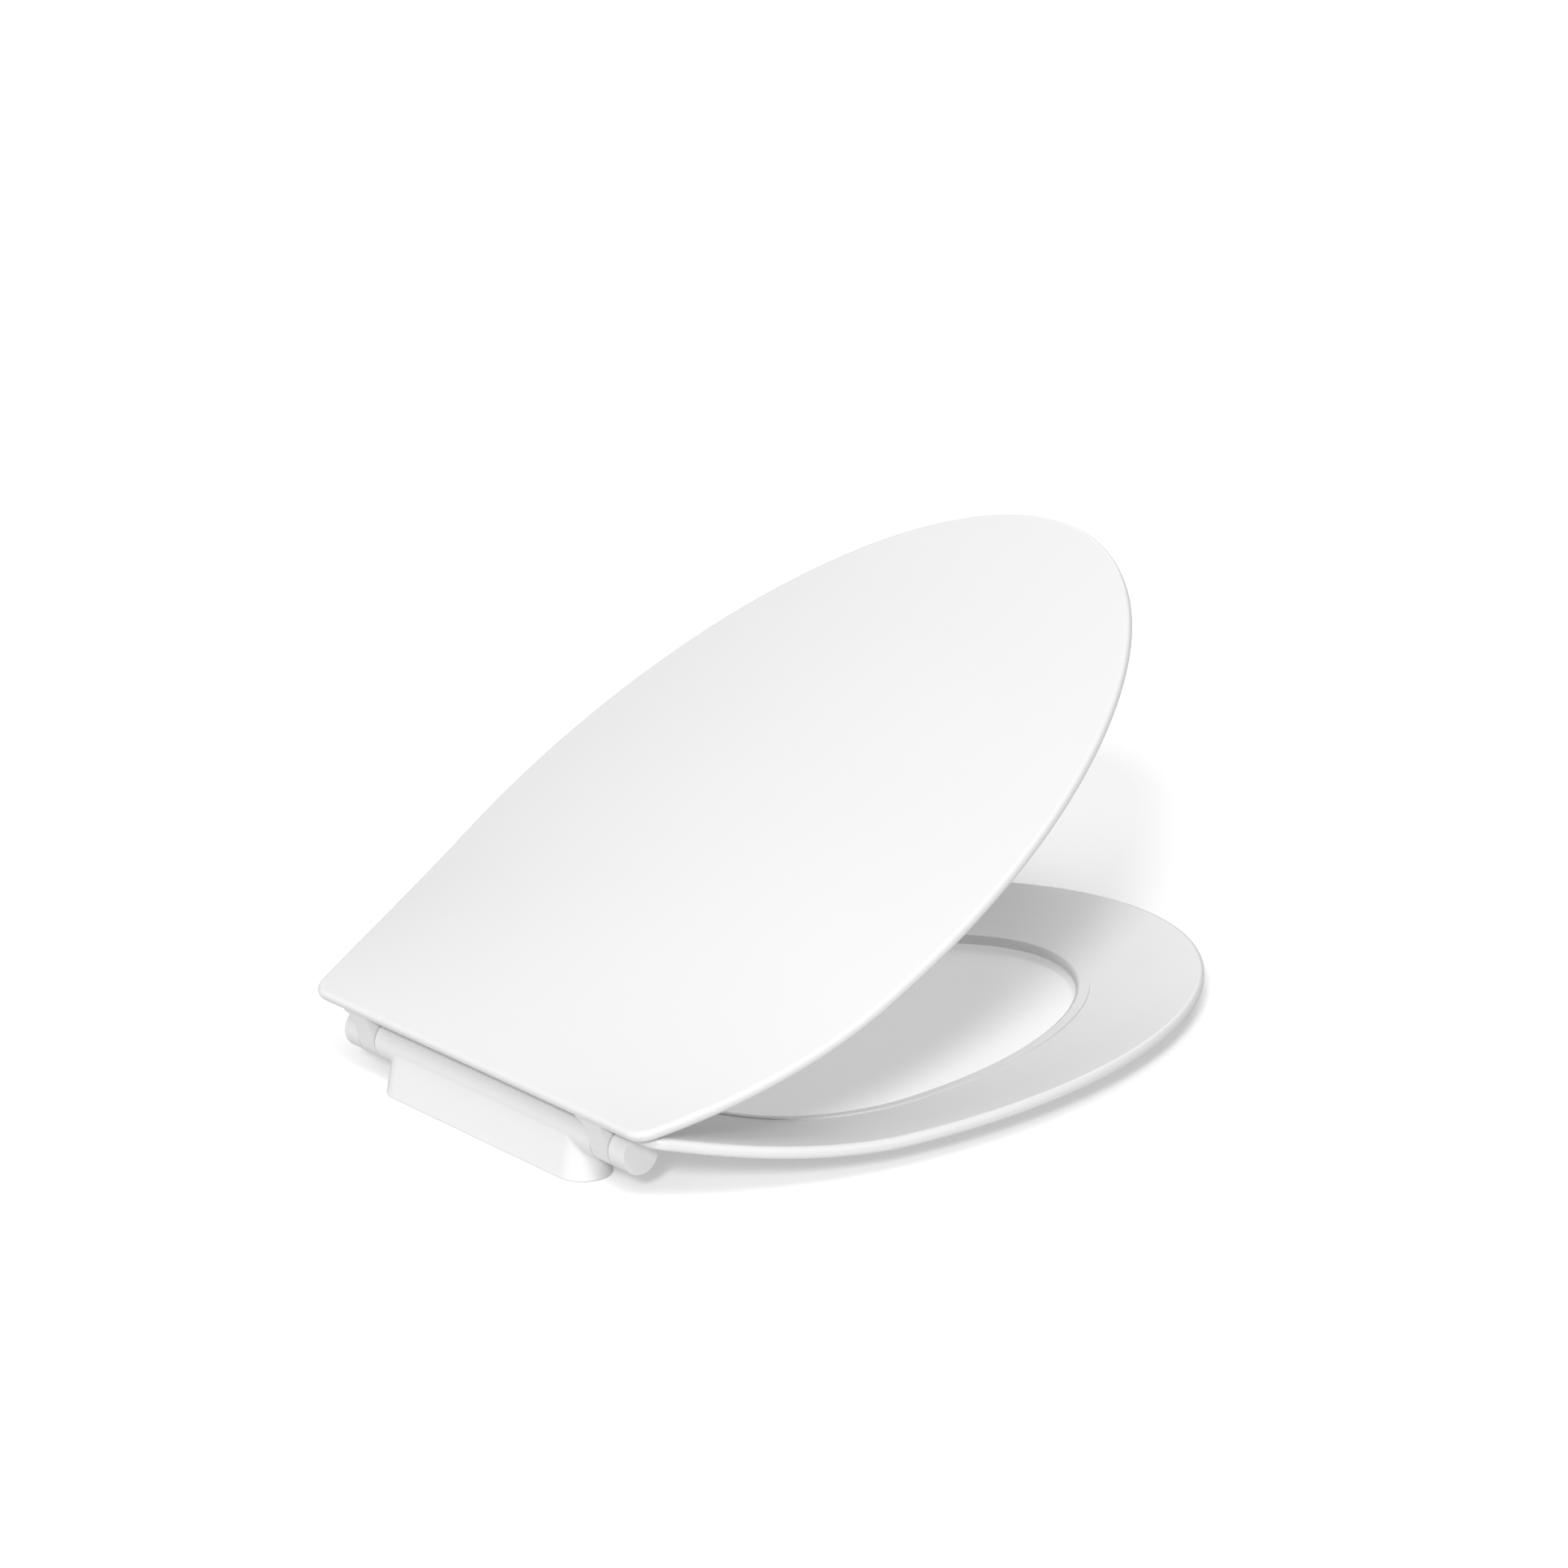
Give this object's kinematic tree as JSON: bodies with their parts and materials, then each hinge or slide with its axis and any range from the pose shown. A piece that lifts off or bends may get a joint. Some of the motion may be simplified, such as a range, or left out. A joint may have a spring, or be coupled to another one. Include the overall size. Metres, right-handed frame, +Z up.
{
  "type": "toilet seat",
  "caption": "Slim white toilet seat with a crowned lid held half open over a dished ring, on a shared rear hinge with damped barrel and bolt-down foot.",
  "frame": {"origin": "midway between the two fixing holes, on the underside of the hinge foot where it meets the bowl", "axes": "+Y forward to the front of the bowl, +X along the hinge axis to the right seen from behind, +Z up"},
  "size_m": [0.374, 0.4834, 0.2637],
  "materials": {
    "hinge_housing_moulding": "gloss white",
    "seat_moulding": "gloss white",
    "lid_moulding": "gloss white",
    "buffer_rubber": "soft off-white rubber",
    "gasket_rubber": "soft grey rubber",
    "seal_rubber": "black rubber",
    "rotor_steel": "turned steel",
    "insert_brass": "turned brass",
    "bush_plastic": "natural acetal",
    "damper_plastic": "dark grey nylon"
  },
  "bodies": {
    "housing": {"hinge_housing": "hinge_housing_moulding", "foot_gasket": "gasket_rubber", "fixing_insert_right": "insert_brass", "fixing_insert_left": "insert_brass", "lid_damper_body": "damper_plastic", "lid_damper_cap": "damper_plastic", "lid_damper_seal": "seal_rubber", "seat_damper_body": "damper_plastic", "seat_damper_cap": "damper_plastic", "seat_damper_seal": "seal_rubber"},
    "seat": {"seat": "seat_moulding", "seat_damper_rotor": "rotor_steel", "seat_ear_bush": "bush_plastic", "seat_buffer_front_right": "buffer_rubber", "seat_buffer_front_left": "buffer_rubber", "seat_buffer_rear_right": "buffer_rubber", "seat_buffer_rear_left": "buffer_rubber"},
    "lid": {"lid": "lid_moulding", "lid_damper_rotor": "rotor_steel", "lid_arm_bush": "bush_plastic", "lid_buffer_front_right": "buffer_rubber", "lid_buffer_front_left": "buffer_rubber", "lid_buffer_rear_right": "buffer_rubber", "lid_buffer_rear_left": "buffer_rubber"}
  },
  "joints": [
    {"name": "seat_hinge", "type": "hinge", "parent": "housing", "child": "seat", "pos_m": [0, 0, 0.0245], "axis": [1, 0, 0], "range_deg": [0, 25]},
    {"name": "lid_hinge", "type": "hinge", "parent": "seat", "child": "lid", "pos_m": [0, 0, 0.0245], "axis": [1, 0, 0], "range_deg": [-30.5, 64.5]}
  ]
}
